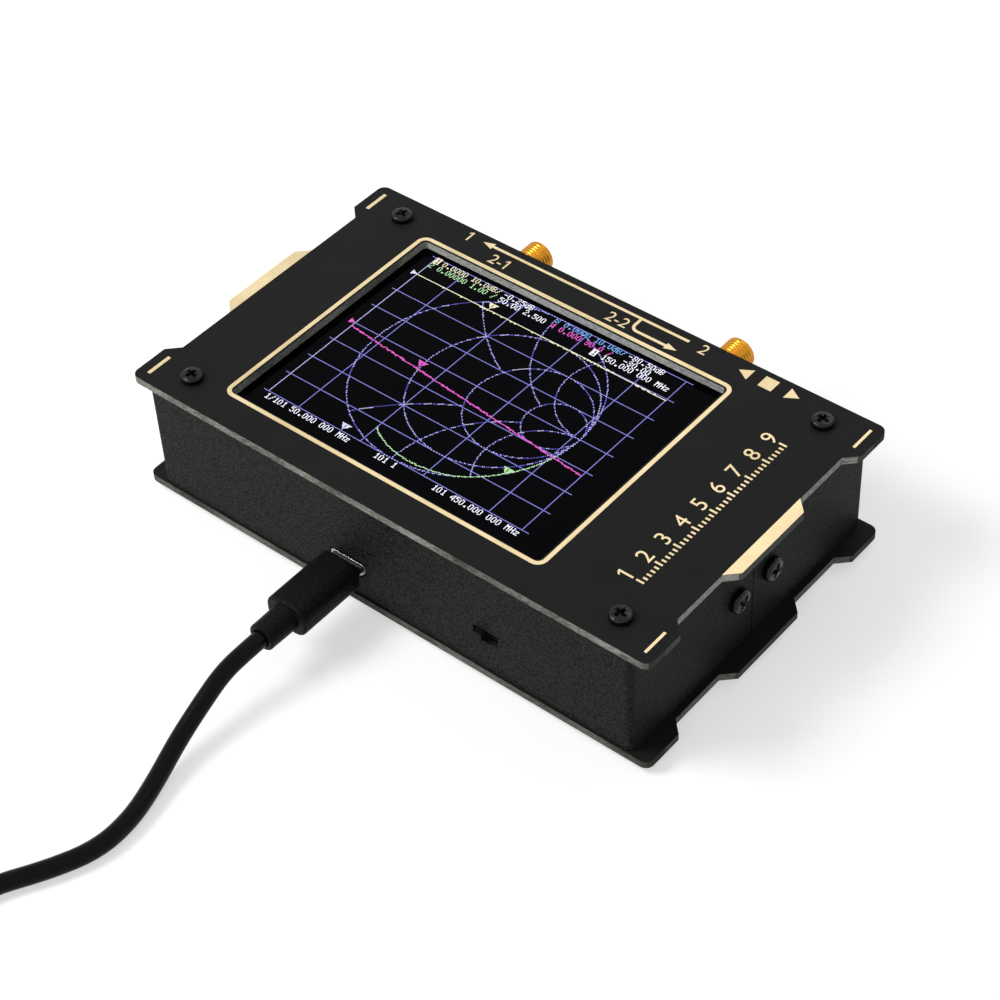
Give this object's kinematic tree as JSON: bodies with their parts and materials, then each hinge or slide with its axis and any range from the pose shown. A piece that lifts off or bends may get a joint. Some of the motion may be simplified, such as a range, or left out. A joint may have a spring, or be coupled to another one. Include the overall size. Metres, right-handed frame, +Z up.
{
  "type": "antenna analyzer",
  "caption": "Flat hand-held antenna analyzer: a touch display under a windowed cover plate on a folded metal case, coaxial ports, push buttons, a slide switch and a coiled USB lead.",
  "frame": {"origin": "on the surface that the analyzer stands on, under the middle of the box round the analyzer without its lead; the screw heads under the bottom plate rest on it", "axes": "+X along the length, towards the title end of the cover plate; +Y from the side with the USB socket and the power switch towards the side with the coaxial ports and the buttons; +Z up, out of the display"},
  "size_m": [0.1248, 0.248, 0.029],
  "materials": {
    "black_solder_mask": "matte black solder mask over glass-fibre laminate, gold-plated artwork",
    "black_powder_coat": "fine-textured black powder coat on folded sheet",
    "black_screw_steel": "black-oxide machine screws",
    "pillar_brass": "nickel-free hexagon brass",
    "bar_steel": "zinc-plated steel bar",
    "board_laminate": "green solder mask on laminate",
    "tinplate": "bright tinplate",
    "chip_epoxy": "moulded epoxy",
    "crystal_can": "plated lid",
    "port_gold": "gold-plated brass",
    "port_white_plastic": "white fluoropolymer",
    "switch_black_plastic": "moulded black plastic",
    "usb_steel": "nickel-plated drawn steel",
    "usb_black_plastic": "moulded black plastic",
    "far_tongue_plastic": "moulded white plastic",
    "battery_pouch": "silver laminate pouch",
    "foam_tape": "double-sided foam tape",
    "wire_insulation": "silicone wire",
    "connector_white": "natural moulded plastic",
    "touch_glass": "clear glass over a black picture",
    "display_glass": "dark display glass with a lit chart",
    "backlight_frame": "white frame and light guide",
    "ribbon_film": "amber polyimide film",
    "lead_moulding": "matte black overmould",
    "lead_jacket": "satin black jacket"
  },
  "bodies": {
    "case": {"battery_cell": "battery_pouch", "battery_connector": "connector_white", "battery_pads": "foam_tape", "battery_wires": "wire_insulation", "board_chips": "chip_epoxy", "bottom_plate": "black_solder_mask", "bottom_plate_screws": "black_screw_steel", "button_covers": "tinplate", "button_domes": "tinplate", "button_housings": "switch_black_plastic", "display_backlight": "backlight_frame", "display_panel": "display_glass", "display_ribbon": "ribbon_film", "display_tape": "foam_tape", "end_screws": "black_screw_steel", "front_frame": "black_powder_coat", "joining_bars": "bar_steel", "lower_pillars": "pillar_brass", "main_board": "board_laminate", "port_left_body": "port_gold", "port_left_contact": "port_gold", "port_left_insulator": "port_white_plastic", "port_right_body": "port_gold", "port_right_contact": "port_gold", "port_right_insulator": "port_white_plastic", "power_switch_cover": "tinplate", "power_switch_housing": "switch_black_plastic", "power_switch_pins": "tinplate", "processor": "chip_epoxy", "rear_frame": "black_powder_coat", "reference_crystal": "crystal_can", "ribbon_connectors": "connector_white", "shield_can_left": "tinplate", "shield_can_middle": "tinplate", "shield_can_right": "tinplate", "top_plate": "black_solder_mask", "top_plate_screws": "black_screw_steel", "touch_panel": "touch_glass", "touch_ribbon": "ribbon_film", "upper_pillars": "pillar_brass", "usb_socket_shell": "usb_steel", "usb_socket_tongue": "usb_black_plastic"},
    "button_left": {"button_left": "switch_black_plastic"},
    "button_select": {"button_select": "switch_black_plastic"},
    "button_right": {"button_right": "switch_black_plastic"},
    "power_switch_knob": {"power_switch_knob": "switch_black_plastic"},
    "usb_lead": {"usb_plug_shell": "usb_steel", "usb_plug_moulding": "lead_moulding", "lead_cable": "lead_jacket", "lead_coil": "lead_jacket", "lead_tail": "lead_jacket", "far_plug_moulding": "lead_moulding", "far_plug_shell": "usb_steel", "far_plug_tongue": "far_tongue_plastic"}
  },
  "joints": [
    {"name": "button_left_press", "type": "slide", "parent": "case", "child": "button_left", "axis": [0, -1, 0], "range_m": [0, 0.0003], "stiffness_N_per_m": 6000},
    {"name": "button_select_press", "type": "slide", "parent": "case", "child": "button_select", "axis": [0, -1, 0], "range_m": [0, 0.0003], "stiffness_N_per_m": 6000},
    {"name": "button_right_press", "type": "slide", "parent": "case", "child": "button_right", "axis": [0, -1, 0], "range_m": [0, 0.0003], "stiffness_N_per_m": 6000},
    {"name": "power_switch_slide", "type": "slide", "parent": "case", "child": "power_switch_knob", "axis": [1, 0, 0], "range_m": [0, 0.0025]},
    {"name": "usb_lead_unplug", "type": "slide", "parent": "case", "child": "usb_lead", "axis": [0, -1, 0], "range_m": [0, 0.008]}
  ]
}
